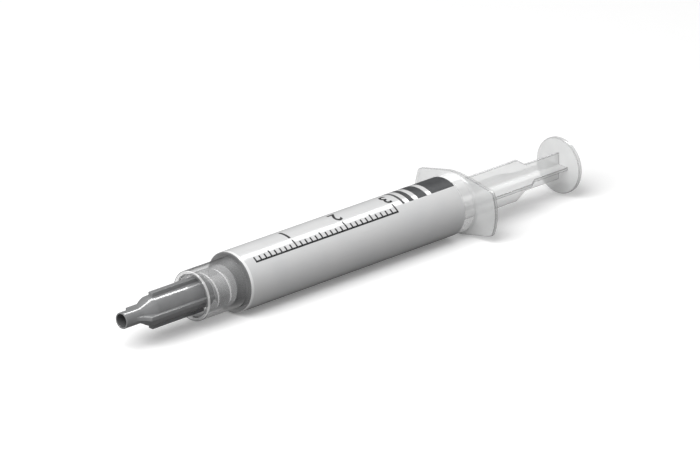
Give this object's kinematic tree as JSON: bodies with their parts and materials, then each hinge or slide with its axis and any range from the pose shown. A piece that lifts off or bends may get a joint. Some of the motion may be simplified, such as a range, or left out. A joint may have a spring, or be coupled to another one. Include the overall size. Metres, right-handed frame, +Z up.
{
  "type": "paste syringe",
  "caption": "Capped luer-lock paste syringe: clear flanged barrel with wrapped label, cross-rib plunger with thumb disc, rubber seal, grey filling and finned push-on tip cap.",
  "frame": {"origin": "centre of the object's box at its lowest point, where the flange rests on a table", "axes": "+X along the syringe's axis towards the capped tip, +Y along the finger flange, +Z up"},
  "size_m": [0.117, 0.0216, 0.0124],
  "materials": {
    "clear_barrel": "clear moulded polypropylene",
    "clear_rod": "clear moulded plastic",
    "label_film": "satin printed film",
    "seal_rubber": "satin black rubber",
    "grey_paste": "smooth grey paste",
    "cap_dark": "glossy dark grey plastic"
  },
  "bodies": {
    "barrel": {"barrel": "clear_barrel", "wrap_label": "label_film", "thermal_paste": "grey_paste"},
    "seal": {"plunger_seal": "seal_rubber"},
    "rod": {"plunger_rod": "clear_rod"},
    "cap": {"tip_cap": "cap_dark"}
  },
  "joints": [
    {"name": "plunger_slide", "type": "slide", "parent": "barrel", "child": "seal", "axis": [1, 0, 0], "range_m": [-0.024, 0.026], "deforming": ["thermal_paste"]},
    {"name": "rod_spin", "type": "hinge", "parent": "seal", "child": "rod", "pos_m": [-0.0015, 0, 0.0062], "axis": [1, 0, 0], "continuous": true},
    {"name": "cap_pull", "type": "slide", "parent": "barrel", "child": "cap", "axis": [1, 0, 0], "range_m": [0, 0.008]}
  ]
}
